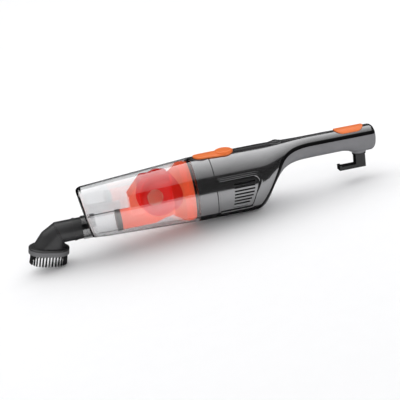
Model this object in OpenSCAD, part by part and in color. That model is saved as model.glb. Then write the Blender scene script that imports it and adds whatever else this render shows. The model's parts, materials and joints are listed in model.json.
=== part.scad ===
// Handheld vacuum cleaner: the hand unit of a corded stick vacuum, with a clear dust cup,
// an angled dusting brush, a motor body and a grip with a swivelling cord hook.
// It is drawn along the body axis (X towards the grip) and tipped by rest_pose() so that it
// lies on a table on the rear bristles and on a flat under the body.

/* [Body] */
// Outer radius of the motor body
body_r = 51; // [48:1:56]
// Wall of the body halves
shell_t = 3; // [2.6:0.2:3.6]
// Where the body halves start
shell_x = -2; // [-4:1:2]
// Where the round corner at the back of the body starts
corner_x = 66; // [60:1:70]
// Depth of the flat moulded under the body
flat_depth = 1.4; // [0.8:0.2:1.6]

/* [Grip] */
// Radius of the grip
grip_r = 19; // [17:0.5:21]
// Height of the grip's axis above the body's axis
grip_z = 32; // [28:1:34]
// Where the grip ends
grip_end = 272; // [262:2:286]
// Thickness of the soft grip skin and of the trim line
skin_t = 1.4; // [1:0.2:1.6]
// Half the width of the black trim line
trim_half = 2.7; // [2:0.1:3.2]

/* [Dust cup] */
// Back edge of the cup, where it meets the front ring
cup_back = -31; // [-35:1:-27]
// Radius of the cup near its front face
cup_front_r = 41.5; // [40:0.5:43]
// Wall of the cup
cup_t = 2.2; // [1.8:0.2:2.4]
// How far the front face leans forward at the top
face_lean = 9.7; // [6:0.1:12]
// Height of the inlet's axis
inlet_z = -26; // [-27:0.5:-25]

/* [Brush] */
// Radius of the brush tube
tube_r = 17; // [16:0.5:17.5]
// Radius of the round ends of the brush ring
ring_r = 23; // [21:0.5:25]
// Half the distance between the centres of its round ends
ring_half = 8.5; // [7:0.5:11]
// Visible length of the bristles
bristle_len = 17; // [14:1:20]
// Number of bristle tufts
tufts = 32; // [24:2:36]
// Tilt of the brush plane against the body axis
brush_tilt = 12.1; // [10:0.1:14]
// Tilt of the swivel face against the tube
swivel_tilt = 20; // [16:1:22]

/* [Controls] */
// Length of the power switch
switch_len = 48; // [44:1:52]
// Width of the power switch
switch_w = 26; // [22:1:28]
// Number of slots in a vent cover
vent_slots = 8; // [6:1:8]
// Number of pleats in the filter
pleats = 30; // [24:2:36]
// Number of blades on the fan
blades = 9; // [7:1:11]

/* [Hidden] */

$fn = 64;
hull_fn = 32;
run = 0.1; // radial running clearance of a pin in its bore
gap = 0.35; // clearance between moving skins
far = 200; // larger than any section

// ---- rest pose -------------------------------------------------------------------------------
ring_x = -268.6; // centre of the brush ring
ring_z = -51.9;
ring_h = 3.5; // half the height of the brush ring
tuft_line = ring_r - 4; // radius of the line that the tufts stand on
tuft_r = 1.6;
tuft_root = 3; // depth of a tuft in the ring
mouth_half = 7; // the air mouth of the brush is a stadium, like its ring
mouth_r = 15.5;
tip_local = [ring_half + tuft_line + tuft_r, -ring_h - bristle_len];
tip_x = ring_x + tip_local[0] * cos(brush_tilt) + tip_local[1] * sin(brush_tilt);
tip_z = ring_z - tip_local[0] * sin(brush_tilt) + tip_local[1] * cos(brush_tilt);
flat_x = corner_x + 2; // back end of the flat under the body
flat_z = -body_r + flat_depth;
pitch = atan((flat_z - tip_z) / (flat_x - tip_x));
rest_lift = tip_x * sin(pitch) - tip_z * cos(pitch);
centre_shift = 14.26; // puts the middle of the whole length over the origin

// ---- body outline ----------------------------------------------------------------------------
corner_r = 29; // round corner at the back of the body
corner_turn = 57.6; // angle that the corner turns through
nose_r = 16; // round nose at the back of the body
nose_x = corner_x + (corner_r - nose_r) * cos(90 - corner_turn)
    + (body_r - corner_r + (corner_r - nose_r) * sin(90 - corner_turn)) * tan(90 - corner_turn);
blend_x = [60, 140]; // where the shoulder between body and grip starts and ends
blend_r = 39; // radius of the shoulder where it starts
pommel_x = [224, 271.4]; // the deep end of the grip, over the cord hook
pommel_r = 17;
pommel_mid = 25.6; // height of its axis
pommel_z = 8; // underside of the hook's boss
pommel_front = 10; // rounding at its front end
pommel_back = 8; // rounding at its back end
hook_boss_r = 11.6;
end_round = 12; // rounding at the end of the grip

// ---- trim line: straight along the grip, then an arc, then straight down the back -------------
line_z = 40.3;
line_arc_x = 148;
line_arc_r = 50;
line_turn = 50.4;
line_end_z = -43; // the skins stop here, above the flat
line_run = 105;

// ---- cup and inlet ---------------------------------------------------------------------------
cup_drop = 0.86; // the cup's axis falls this many degrees towards the front
cup_taper = (body_r - cup_front_r) / 174; // change of radius along the cup
face_x = -205.5; // middle of the front face
face_z = -4;
face_edge = 6; // rounding of the front edge
collar_x = -212; // end of the inlet collar
collar_r = tube_r + 1.6;
spigot_end = -196; // where the brush tube ends inside the collar
sleeve_r = 16.4;
sleeve_in = 14.8;
sleeve_x = [-195.5, -158];
seal_x = [-158, -150];
duct_end = [-98, -72]; // the duct tapers here, under the drum

// ---- cyclone ---------------------------------------------------------------------------------
drum_x = -82.5;
drum_z = 5;
drum_r = 35;
drum_half = 26; // half the width of the drum
drum_edge = 10;
cyclone_t = 1.6;
screen_x = -95;
screen_z = 8;
screen_r = 12.5;
screen_t = 1.2;
screen_hole = 0.9; // radius of a hole in a screen
screen_step = 3.2; // radius from one ring of holes to the next
holder_x = [-68, -36]; // filter holder, from the drum to the mouth of the cup
holder_rim = body_r - 3.9; // radius of its rim, inside the cup
filter_x = [-54, -10];
filter_r = [22, 40];

// ---- motor, on the body axis -----------------------------------------------------------------
shaft_r = 4;
fan_x = [0, 20];
fan_r = 38;
hub_r = 9; // hub of the fan
blade_t = 1.2;
blade_lean = 20;
can_x = [24, 72];
can_r = 29;
bracket_x = 78;
mount_r = 21; // outer radius of the rear mount

// ---- brush swivel ----------------------------------------------------------------------------
swivel_x = -248;
neck_r = 13.5;
neck_len = 6;
neck_bore = 11.5;

// ---- vents and controls ----------------------------------------------------------------------
vent_x = [1, 74];
vent_z = [-34, 25];
vent_round = 15;
vent_slant = 12; // the lower back corner stands this far forward of the upper one
vent_raise = 2.2; // height of the rim along the top and the back
vent_rim = 5.5; // width of that rim
vent_field = 0.5; // height of the slotted field
vent_lap = 6; // the cover laps this far over the shell round its window
slot_pitch = 5.4;
slot_h = 2.6;
slot_top = 10.5;
slot_x = [25, 58.5];
slide_x = [-12, 25]; // centres of the round ends of the release slide
slide_r = [12, 15];
slide_h = 2.4;
bed_margin = 4.5; // dark bed showing round the front end of the slide
bed_t = 1.2;
button_x = 109;
button_r = 7;
coil_r = 4; // outer radius of the spring under the button
bezel_r = 11;
switch_x = 231;
switch_h = 1.9; // height of the switch above the grip
board_x = 160; // circuit board in the grip
board_z = grip_z - 6;
board_t = 1.6;
hook_x = 246;
hook_top = pommel_z - gap;
hook_drop = 24; // height of the hook
hook_post = 16; // thickness of its upright
hook_w = 14;
hook_reach = 36; // from the upright's axis to the end of the foot
hook_t = 6; // thickness of the foot
hook_well = 4.5; // radius of the well for the pivot screw's head
pivot_head = 4.2;
pivot_r = 2.5; // pivot screw of the hook
gland_z = grip_z - 4;
gland_r = 8.9;
cord_bore = 3.6; // passes a cord 7 mm thick
screw_spots = [[84, -30], [88, 22], [156, grip_z], [212, grip_z - 4]];
boss_r = 4.2;
screw_r = 1.2;

// ---- helpers ---------------------------------------------------------------------------------
function arc(cx, cy, r, a0, a1, n = 12) =
    [for (i = [0 : n]) let (a = a0 + (a1 - a0) * i / n) [cx + r * cos(a), cy + r * sin(a)]];

// Outline pairs are (along X, radius); a revolved piece wants (radius, along X).
function swap(points) = [for (p = points) [p[1], p[0]]];

module rest_pose() translate([centre_shift, 0, rest_lift]) rotate([0, pitch, 0]) children();

module lathe(points, z = 0) translate([0, 0, z]) rotate([0, 90, 0]) rotate_extrude() polygon(swap(points));

module rod(x0, x1, r, z = 0, r_end = -1)
    translate([x0, 0, z]) rotate([0, 90, 0]) cylinder(h = x1 - x0, r1 = r, r2 = r_end < 0 ? r : r_end);

module pipe(x0, x1, r, bore, z = 0) difference() {
    rod(x0, x1, r, z);
    rod(x0 - 1, x1 + 1, bore, z);
}

// A prism whose outline is drawn in the XZ plane, from y0 to y1.
module side_prism(points, y0, y1)
    translate([0, y1, 0]) rotate([90, 0, 0]) linear_extrude(y1 - y0) polygon(points);

module half_space(side) translate([-far * 2, side < 0 ? -far : 0, -far]) cube([far * 4, far, far * 2]);

module stadium(half, r, h) {
    for (s = [-1, 1]) translate([s * half, 0, 0]) cylinder(h = h, r = r);
    translate([-half, -r, 0]) cube([2 * half, 2 * r, h]);
}

module brush_place() translate([ring_x, 0, ring_z]) rotate([0, brush_tilt, 0]) children();

// Local Z runs forward and down, square to the swivel face.
module swivel_place() translate([swivel_x, 0, inlet_z]) rotate([0, -90 - swivel_tilt, 0]) children();

// ---- brush -----------------------------------------------------------------------------------
module brush_core(r_disc, r_ball, half, r_foot, foot_z, disc_h) hull() {
    swivel_place() translate([0, 0, disc_h]) cylinder(h = 1, r = r_disc, $fn = hull_fn);
    brush_place() {
        translate([-1, 0, 20]) sphere(r = r_ball, $fn = hull_fn);
        for (s = [-1, 1]) translate([s * half, 0, foot_z]) cylinder(h = 2, r = r_foot, $fn = hull_fn);
    }
}

module brush_head() rest_pose() color([0.13, 0.13, 0.14]) difference() {
    union() {
        brush_core(tube_r + 0.3, 14.5, mouth_half, mouth_r + 2.5, ring_h + 1.5, gap);
        brush_place() hull() for (s = [-1, 1]) translate([s * ring_half, 0, ring_h]) {
            cylinder(h = 2, r = ring_r);
            cylinder(h = 3, r = ring_r - 1.5);
        }
    }
    brush_core(neck_bore, 12, mouth_half, mouth_r, ring_h - 1, neck_len);
    swivel_place() translate([0, 0, -1]) cylinder(h = neck_len + 1.6, r = neck_r + run);
}

// Tuft 0 stands at the back of the ring; the even spacing runs round both ends and both straights.
module tuft_places() {
    step = (2 * PI * tuft_line + 4 * ring_half) / tufts;
    end_len = PI * tuft_line;
    for (i = [0 : tufts - 1]) {
        s = (i * step + end_len / 2) % (2 * end_len + 4 * ring_half);
        half_len = end_len + 2 * ring_half;
        side = s < half_len ? 1 : -1;
        t = s < half_len ? s : s - half_len;
        a = -90 + 180 * t / end_len;
        if (t <= end_len)
            translate([side * (ring_half + tuft_line * cos(a)), side * tuft_line * sin(a), 0]) children();
        else
            translate([side * (ring_half - (t - end_len)), side * tuft_line, 0]) children();
    }
}

module brush_ring() rest_pose() color([0.30, 0.30, 0.32]) brush_place() difference() {
    translate([0, 0, -ring_h]) stadium(ring_half, ring_r, 2 * ring_h);
    translate([0, 0, -ring_h - 1]) stadium(mouth_half, mouth_r, 2 * ring_h + 2);
    translate([0, 0, -ring_h - 1]) tuft_places() cylinder(h = 4, r = tuft_r + 0.05, $fn = 16);
}

module bristle_tufts() rest_pose() color([0.08, 0.08, 0.08]) brush_place()
    translate([0, 0, -ring_h - bristle_len]) tuft_places()
        cylinder(h = bristle_len + tuft_root, r = tuft_r, $fn = 16);

module brush_tube() rest_pose() color([0.10, 0.10, 0.11]) difference() {
    union() {
        difference() {
            rod(swivel_x - 12, spigot_end, tube_r, inlet_z);
            swivel_place() cylinder(h = 40, r = 2 * tube_r);
        }
        rod(-226, -222, tube_r + 0.8, inlet_z);
        swivel_place() translate([0, 0, -3]) cylinder(h = 3 + neck_len, r = neck_r);
    }
    rod(-238, spigot_end + 1, tube_r - 2.2, inlet_z);
    swivel_place() translate([0, 0, -16]) cylinder(h = 17 + neck_len, r = neck_bore);
}

// ---- dust cup --------------------------------------------------------------------------------
module cup_solid(g) intersection() {
    translate([cup_back, 0, 0]) rotate([0, -90 - cup_drop, 0])
        translate([0, 0, -20])
            cylinder(h = 220, r1 = body_r + 20 * cup_taper - g, r2 = body_r - 200 * cup_taper - g);
    translate([face_x, 0, face_z]) rotate([0, 90 - face_lean, 0]) rotate_extrude()
        polygon(concat([[0, g], [cup_front_r - face_edge, g]],
            arc(cup_front_r - face_edge, face_edge + g, face_edge, -90, 0, 8),
            [[cup_front_r + 60, 260], [0, 260]]));
    translate([-far * 2, -far, -far]) cube([far * 2 + cup_back + (g > 0 ? 1 : 0), 2 * far, 2 * far]);
}

module dust_cup() rest_pose() color([0.85, 0.88, 0.90, 0.35]) difference() {
    union() {
        difference() {
            cup_solid(0);
            cup_solid(cup_t);
        }
        intersection() {
            rod(collar_x, sleeve_x[0] + 5, collar_r, inlet_z);
            union() {
                rod(collar_x, face_x + 8, collar_r, inlet_z);
                cup_solid(0);
            }
        }
    }
    rod(collar_x - 1, sleeve_x[0] + 6, tube_r + run, inlet_z);
}

module inlet_sleeve() rest_pose() color([0.80, 0.83, 0.85, 0.6]) difference() {
    union() {
        rod(sleeve_x[0], sleeve_x[0] + 5, tube_r + run, inlet_z);
        rod(sleeve_x[0], sleeve_x[1], sleeve_r, inlet_z);
    }
    rod(sleeve_x[0] - 1, sleeve_x[1] + 1, sleeve_in, inlet_z);
}

module inlet_seal() rest_pose() color([0.42, 0.50, 0.52])
    pipe(seal_x[0], seal_x[1], sleeve_r + 0.8, sleeve_in, inlet_z);

// ---- cyclone ---------------------------------------------------------------------------------
module drum(g) translate([drum_x, 0, drum_z]) rotate([90, 0, 0]) rotate_extrude()
    polygon(concat([[0, g - drum_half]],
        arc(drum_r - drum_edge, drum_edge - drum_half, drum_edge - g, -90, 0, 8),
        arc(drum_r - drum_edge, drum_half - drum_edge, drum_edge - g, 0, 90, 8),
        [[0, drum_half - g]]));

// Scroll that lifts the air from the duct to the front of the drum.
module scroll(g) side_prism([[-134 + g, inlet_z + 8], [-134 + g, 12 - g / 2], [-110, 38 - g], [-98, 38 - g],
    [-88, 0], [-96, inlet_z + 8]], g - 15, 15 - g);

module cyclone_housing() rest_pose() color([0.80, 0.20, 0.12, 0.75]) difference() {
    union() {
        drum(0);
        scroll(0);
        rod(seal_x[1], duct_end[0], sleeve_r, inlet_z);
        rod(duct_end[0], duct_end[1], sleeve_r, inlet_z, sleeve_r / 2);
    }
    drum(cyclone_t);
    scroll(cyclone_t);
    rod(seal_x[1] - 1, duct_end[0] - 2, sleeve_in, inlet_z);
    translate([holder_x[0], -far, -far]) cube(2 * far);
    translate([screen_x, 0, screen_z]) rotate([90, 0, 0])
        cylinder(h = 2 * drum_half + 2, r = screen_r, center = true);
}

module cyclone_screens() rest_pose() color([0.75, 0.75, 0.76])
    for (s = [-1, 1]) translate([screen_x, s * (drum_half - cyclone_t / 2), screen_z]) rotate([90, 0, 0])
        difference() {
            cylinder(h = screen_t, r = screen_r, center = true);
            for (k = [1 : 3], j = [0 : 6 * k - 1]) rotate([0, 0, j * 60 / k])
                translate([k * screen_step, 0, 0]) screen_cut();
            screen_cut();
        }

module screen_cut() cylinder(h = 3 * screen_t, r = screen_hole, center = true, $fn = 16);

module filter_holder() rest_pose() color([0.90, 0.36, 0.14, 0.85]) lathe([
    [holder_x[0], 20], [holder_x[0], 35], [holder_x[0] + 4, 37], [-52, holder_rim - 1.2],
    [-48, holder_rim - 1.2], [-48, holder_rim], [-46, holder_rim], [-46, holder_rim - 1.2],
    [-43, holder_rim - 1.2], [-43, holder_rim], [-41, holder_rim], [-41, holder_rim - 1.2],
    [holder_x[1], holder_rim - 1.2], [holder_x[1], holder_rim - 3], [-51, holder_rim - 3],
    [holder_x[0] + 5, 34], [holder_x[0] + 2, 33], [holder_x[0] + 2, 20]]);

module cup_seal() rest_pose() color([0.25, 0.27, 0.28])
    pipe(holder_x[1], holder_x[1] + 3, holder_rim - 0.4, holder_rim - 3);

// ---- filter ----------------------------------------------------------------------------------
module filter_pleats() rest_pose() color([0.93, 0.93, 0.90]) rotate([0, 90, 0])
    translate([0, 0, filter_x[0] + 2]) linear_extrude(filter_x[1] - filter_x[0] - 4) difference() {
        polygon([for (i = [0 : 2 * pleats - 1]) let (r = i % 2 == 0 ? filter_r[1] - 1 : filter_r[0] + 4)
            [r * cos(i * 180 / pleats), r * sin(i * 180 / pleats)]]);
        polygon([for (i = [0 : 2 * pleats - 1]) let (r = i % 2 == 0 ? filter_r[1] - 4 : filter_r[0] + 1)
            [r * cos(i * 180 / pleats), r * sin(i * 180 / pleats)]]);
    }

module filter_frame() rest_pose() color([0.20, 0.20, 0.22]) {
    rod(filter_x[0], filter_x[0] + 2, filter_r[1]);
    difference() {
        union() {
            rod(filter_x[1] - 2, filter_x[1], filter_r[1]);
            rod(filter_x[1], filter_x[1] + 2, holder_rim - 0.5);
        }
        rod(filter_x[1] - 3, filter_x[1] + 3, filter_r[0]);
    }
}

// ---- body ------------------------------------------------------------------------------------
// Back of the body: a cylinder with a round corner and a round nose, g inside the outer skin.
module body_barrel(g, x0 = shell_x) lathe(concat([[x0, 0], [x0, body_r - g]],
    arc(corner_x, body_r - corner_r, corner_r - g, 90, 90 - corner_turn, 12),
    arc(nose_x, 0, nose_r - g, 90 - corner_turn, 0, 8)));

module grip_bar(g) lathe(concat([[110, 0], [110, grip_r - g]],
    arc(grip_end - end_round, grip_r - end_round, end_round - g, 90, 0, 8), [[grip_end - g, 0]]), grip_z);

module shoulder(g) hull() {
    rod(blend_x[0], blend_x[0] + 1, blend_r - g, body_r - blend_r, $fn = hull_fn);
    rod(blend_x[1], blend_x[1] + 1, grip_r - g, grip_z, $fn = hull_fn);
}

module body_form(g, x0 = shell_x) {
    body_barrel(g, x0);
    shoulder(g);
    grip_bar(g);
    lathe(concat([[pommel_x[0] + g, 0]],
        arc(pommel_x[0] + pommel_front, pommel_r - pommel_front, pommel_front - g, 180, 90, 8),
        arc(pommel_x[1] - pommel_back, pommel_r - pommel_back, pommel_back - g, 90, 0, 8),
        [[pommel_x[1] - g, 0]]), pommel_mid);
    translate([hook_x, 0, pommel_z + g]) cylinder(h = grip_z - pommel_z - g, r = hook_boss_r - g);
}

// The table's surface, as a block below the rest plane.
module below_rest() translate([flat_x, 0, flat_z]) rotate([0, -pitch, 0])
    translate([-300, -far, -far]) cube([700, 2 * far, far]);

// Side outline of the trim line's path, shifted square to it by o.
function line_path(o) = concat([[grip_end + 20, line_z + o]],
    arc(line_arc_x, line_z - line_arc_r, line_arc_r + o, 90, 90 + line_turn, 12),
    [[line_arc_x - (line_arc_r + o) * sin(line_turn) - line_run * cos(line_turn),
      line_z - line_arc_r + (line_arc_r + o) * cos(line_turn) - line_run * sin(line_turn)]]);

function reversed(list) = [for (i = [len(list) - 1 : -1 : 0]) list[i]];

module above_flat() translate([-far, -far, line_end_z]) cube([3 * far, 2 * far, 2 * far]);

module trim_zone() intersection() {
    side_prism(concat(line_path(trim_half), reversed(line_path(-trim_half))), -far, far);
    above_flat();
}

module grip_zone() intersection() {
    side_prism(concat(line_path(-trim_half), [[20, -120], [grip_end + 20, -120]]), -far, far);
    above_flat();
}

module skin_layer() difference() {
    body_form(0);
    body_form(skin_t);
}

// Outline of a vent cover, pulled in by the given amounts at its front, bottom, back and top.
module vent_frame(front, bottom, back, top, bend) {
    low = [vent_x[1] - back - bend - vent_slant, vent_z[0] + bottom + bend];
    high = [vent_x[1] - back - bend, vent_z[1] - top - bend];
    lean = atan((high[0] - low[0]) / (high[1] - low[1]));
    side_prism(concat(
        arc(vent_x[0] + front + 2, vent_z[0] + bottom + 2, 2, 180, 270, 4),
        arc(low[0], low[1], bend, 270, 360 - lean, 8),
        arc(high[0], high[1], bend, -lean, 90, 8),
        arc(vent_x[0] + front + 2, vent_z[1] - top - 2, 2, 90, 180, 4)), -far, far);
}

module vent_outline(g) vent_frame(g, g, g, g, vent_round - g);

module screw_cut(side) for (p = screw_spots) translate([p[0], 0, p[1]]) rotate([90, 0, 0])
    if (side < 0) cylinder(h = 10, r = screw_r);
    else {
        translate([0, 0, -30]) cylinder(h = 30, r = 1.7);
        translate([0, 0, -far]) cylinder(h = far - 8, r = 3.3);
    }

module screw_posts() for (p = screw_spots) translate([p[0], 0, p[1]]) rotate([90, 0, 0])
    cylinder(h = 90, r = boss_r, center = true);

// Inside the halves: screw posts, the rib round the rear mount and the release spring's seat.
module inner_supports() {
    screw_posts();
    pipe(can_x[1] + 6, can_x[1] + 8, body_r, mount_r);
    translate([slide_x[0] + 33, -5, fan_r + 3.5]) cube([3, 10, 8]);
}

module body_half(side) intersection() {
    half_space(side);
    difference() {
        union() {
            difference() {
                body_form(0);
                body_form(shell_t, shell_x - 1);
            }
            intersection() {
                inner_supports();
                body_form(shell_t / 2);
            }
        }
        difference() {
            intersection() {
                skin_layer();
                union() {
                    trim_zone();
                    grip_zone();
                }
            }
            vent_outline(-1);
        }
        below_rest();
        screw_cut(side);
        vent_outline(vent_lap);
        slide_slot();
        strip_groove();
        translate([button_x, 0, body_r - 20]) cylinder(h = 40, r = button_r + gap);
        translate([switch_x, 0, grip_z]) stadium(11, 4.5, 40);
        translate([hook_x, 0, pommel_z - 1]) cylinder(h = 8, r = pivot_r);
        rod(grip_end - 10, grip_end + 1, gland_r - 2, gland_z);
        rod(grip_end - 1, grip_end + 2, gland_r, gland_z);
    }
}

module slide_slot() translate([slide_x[0] + 10, -5, body_r - 12]) cube([24, 10, 20]);

module strip_groove() intersection() {
    difference() {
        body_form(-1);
        body_form(skin_t);
    }
    union() {
        translate([46, -4, 40]) cube([150, 8, 20]);
        translate([button_x, 0, 40]) cylinder(h = 20, r = bezel_r);
    }
}

module shell_left() rest_pose() color([0.50, 0.51, 0.54]) body_half(-1);
module shell_right() rest_pose() color([0.50, 0.51, 0.54]) body_half(1);

module top_strip() rest_pose() color([0.22, 0.22, 0.24]) difference() {
    intersection() {
        skin_layer();
        strip_groove();
    }
    translate([button_x, 0, 0]) cylinder(h = far, r = button_r + gap);
}

module grip_skin() rest_pose() color([0.49, 0.49, 0.51]) difference() {
    intersection() {
        skin_layer();
        grip_zone();
    }
    screw_cut(1);
    vent_outline(-1);
    translate([hook_x, 0, pommel_z - 1]) cylinder(h = 8, r = 9);
    rod(grip_end - 10, grip_end + 1, gland_r, gland_z);
}

module trim_line() rest_pose() color([0.05, 0.05, 0.06]) difference() {
    intersection() {
        skin_layer();
        trim_zone();
    }
    vent_outline(-1);
    rod(grip_end - 10, grip_end + 1, gland_r, gland_z);
}

// The catch of the release slide passes through the ring and the bed here.
module catch_notch() translate([slide_x[0] - 12, -5, body_r - 6]) cube([14.5, 10, 20]);

module bed_layer(margin, outer) intersection() {
    translate([slide_x[0], 0, 0]) cylinder(h = far, r = slide_r[0] + margin);
    pipe(cup_back, shell_x - 1, outer, body_r - bed_t);
}

module front_ring() rest_pose() color([0.46, 0.47, 0.50]) difference() {
    lathe([[cup_back + gap, body_r - 3], [cup_back + gap, body_r], [shell_x - 0.8, body_r],
        [shell_x, body_r - 0.8], [shell_x, fan_r + 1], [filter_x[1] + 2, fan_r + 1],
        [filter_x[1] + 2, body_r - 3]]);
    catch_notch();
    bed_layer(bed_margin, body_r + 5);
}

module slide_bed() rest_pose() color([0.06, 0.06, 0.07]) difference() {
    bed_layer(bed_margin - 0.05, body_r);
    catch_notch();
}

module vent_cover(side) rest_pose() color([0.36, 0.37, 0.40]) intersection() {
    half_space(side);
    difference() {
        intersection() {
            body_barrel(-vent_raise, -60);
            vent_outline(0);
        }
        body_barrel(shell_t - 0.6, -80);
        difference() {
            body_barrel(0, -80);
            vent_outline(vent_lap);
        }
        // The slotted field lies lower than the rim and runs out at the front.
        difference() {
            intersection() {
                body_barrel(-far / 4, -60);
                vent_frame(-10, 2, vent_rim, vent_rim, vent_round - vent_rim);
            }
            body_barrel(-vent_field, -80);
        }
        // Each slot ends a little nearer the front than the one above it.
        for (i = [0 : vent_slots - 1]) let (x0 = slot_x[0] - i * i * 0.08, x1 = slot_x[1] - i * i * 0.3)
            translate([x0, -far, slot_top - i * slot_pitch]) cube([x1 - x0, 2 * far, slot_h]);
    }
}
module vent_cover_left() vent_cover(-1);
module vent_cover_right() vent_cover(1);

module exhaust_foam() rest_pose() color([0.15, 0.15, 0.15]) intersection() {
    vent_outline(6);
    difference() {
        rod(fan_x[0] + 15, corner_x + 2, body_r - shell_t - 1.2);
        rod(fan_x[0] + 14, corner_x + 3, body_r - shell_t - 6);
    }
}

// ---- motor -----------------------------------------------------------------------------------
module motor_can() rest_pose() color([0.62, 0.62, 0.64]) difference() {
    rod(can_x[0], can_x[1], can_r);
    rod(can_x[0] + 2, can_x[1] + 1, can_r - 7);
    rod(can_x[0] - 1, can_x[0] + 3, 11 + 0.02);
    for (a = [0 : 60 : 300]) rotate([a, 0, 0]) translate([can_x[0] - 1, -4, 14]) cube([4, 8, 7]);
}

module motor_bracket() rest_pose() color([0.55, 0.55, 0.58]) difference() {
    union() {
        rod(can_x[1], can_x[1] + 4, can_r);
        rod(can_x[1] + 4, bracket_x + 6, 13);
    }
    rod(can_x[1] - 1, bracket_x + 7, 8 + 0.02);
    for (a = [45 : 90 : 315]) rotate([a, 0, 0]) translate([can_x[1] - 1, -6, 15]) cube([6, 12, 8]);
}

module motor_bearings() rest_pose() color([0.75, 0.75, 0.77]) {
    pipe(can_x[0] - 1, can_x[0] + 2, 11, shaft_r + 0.05);
    pipe(bracket_x, bracket_x + 6, 8, shaft_r + 0.05);
}

module armature() rest_pose() color([0.50, 0.35, 0.20]) difference() {
    rod(32, 58, 20);
    rod(31, 59, shaft_r);
    for (a = [0 : 30 : 330]) rotate([a, 0, 0]) translate([31, -1.2, 15]) cube([28, 2.4, 8]);
}

module commutator() rest_pose() color([0.72, 0.45, 0.25]) difference() {
    rod(60, 71, 10);
    rod(59, 72, shaft_r);
    for (a = [0 : 30 : 330]) rotate([a, 0, 0]) translate([59, -0.3, 9]) cube([13, 0.6, 3]);
}

module carbon_brushes() rest_pose() color([0.12, 0.12, 0.12])
    for (s = [-1, 1]) translate([62, s > 0 ? 10.1 : -21.6, -3]) cube([6, 11.5, 6]);

module motor_shaft() rest_pose() color([0.78, 0.78, 0.80]) rod(fan_x[0] - 2, bracket_x + 8, shaft_r);

module fan_impeller() rest_pose() color([0.70, 0.70, 0.72]) difference() {
    union() {
        rod(fan_x[1] - 4, fan_x[1] - 2, fan_r - 1);
        rod(fan_x[0], fan_x[1] - 3, hub_r);
        for (a = [0 : 360 / blades : 359]) rotate([a, 0, 0])
            translate([fan_x[0] + 4, hub_r - 2, 0]) rotate([blade_lean, 0, 0])
                cube([fan_x[1] - fan_x[0] - 7, fan_r - 12, blade_t]);
    }
    rod(fan_x[0] - 3, fan_x[1] + 3, shaft_r);
}

module fan_shroud() rest_pose() color([0.66, 0.66, 0.68]) difference() {
    rod(fan_x[0] - 1.5, can_x[0] - 1, fan_r + 3);
    rod(fan_x[0], can_x[0] - 3, fan_r + 1);
    rod(fan_x[0] - 3, fan_x[0] + 3, 16);
    rod(can_x[0] - 5, can_x[0], 14);
}

module front_mount() rest_pose() color([0.10, 0.10, 0.10]) difference() {
    pipe(fan_x[0] + 2, fan_x[0] + 14, body_r - shell_t, fan_r + 3);
    translate([-10, -6, fan_r]) cube([50, 12, 20]);
}

module rear_mount() rest_pose() color([0.10, 0.10, 0.10]) pipe(can_x[1] + 5, can_x[1] + 9, mount_r, 13);

// ---- controls --------------------------------------------------------------------------------
module slide_outline(g) {
    for (i = [0, 1]) translate([slide_x[i], 0, 0]) cylinder(h = far, r = slide_r[i] - g);
    linear_extrude(far) polygon([[slide_x[0], -slide_r[0] + g], [slide_x[1], -slide_r[1] + g],
        [slide_x[1], slide_r[1] - g], [slide_x[0], slide_r[0] - g]]);
}

module release_slide() rest_pose() color([0.94, 0.49, 0.23]) {
    difference() {
        union() {
            intersection() {
                slide_outline(0);
                rod(slide_x[0] - 20, slide_x[1] + 30, body_r + slide_h);
            }
            translate([slide_x[1], 0, 0]) rotate_extrude() polygon(concat([[0, body_r - 8],
                [slide_r[1] - 1, body_r - 8], [slide_r[1] - 1, body_r + 1.6]],
                arc(slide_r[1] - 3.5, body_r + 1.6, 2.5, 0, 90, 6), [[0, body_r + 4.1]]));
        }
        rod(slide_x[0] - 21, slide_x[1] + 31, body_r + gap);
    }
    translate([slide_x[0] + 10.5, -4.6, body_r - 8]) cube([10, 9.2, 9]);
    // The catch reaches down through the ring and forward to the cup's rim.
    translate([slide_x[0] - 9, -4, body_r - 7]) cube([4, 8, 9]);
    translate([cup_back + 1, -4, body_r - 7]) cube([12, 8, 3]);
}

module release_spring() rest_pose() color([0.70, 0.70, 0.72])
    pipe(slide_x[0] + 21, slide_x[0] + 33, 3, 2, body_r - 6);

module push_button() rest_pose() color([0.36, 0.37, 0.39]) translate([button_x, 0, 0]) rotate_extrude()
    polygon(concat([[0, body_r - 8], [button_r, body_r - 8], [button_r, body_r - 0.5]],
        arc(button_r - 3.5, body_r - 0.5, 3.5, 0, 90, 6), [[0, body_r + 3]]));

module button_spring() rest_pose() color([0.70, 0.70, 0.72])
    translate([button_x, 0, body_r - 15]) difference() {
        cylinder(h = 7, r = coil_r);
        translate([0, 0, -1]) cylinder(h = 9, r = coil_r - 1);
    }

module button_switch() rest_pose() color([0.10, 0.10, 0.10])
    translate([button_x - 8, -6, body_r - 23]) cube([16, 12, 8]);

module power_switch() rest_pose() color([0.94, 0.49, 0.23]) {
    translate([switch_x, 0, grip_z]) intersection() {
        difference() {
            rod(-switch_len, switch_len, grip_r + switch_h);
            rod(-switch_len - 1, switch_len + 1, grip_r + gap);
        }
        stadium((switch_len - switch_w) / 2, switch_w / 2, 60);
    }
    translate([switch_x - 5, -4, grip_z + 8]) cube([10, 8, grip_r - 7]);
}

module switch_block() rest_pose() color([0.10, 0.10, 0.10])
    translate([switch_x - 14, -7, grip_z - 4]) cube([28, 14, 11.5]);

module circuit_board() rest_pose() color([0.10, 0.40, 0.22])
    translate([board_x, -11, board_z]) cube([46, 22, board_t]);

// A capacitor, a relay and a terminal block stand on the board.
module board_parts() rest_pose() color([0.15, 0.15, 0.18]) translate([board_x, 0, board_z + board_t]) {
    translate([8, 0, 0]) cylinder(h = 9, r = 5);
    translate([20, -7, 0]) cube([8, 14, 6]);
    translate([32, -5, 0]) cube([10, 10, 4]);
}

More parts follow.
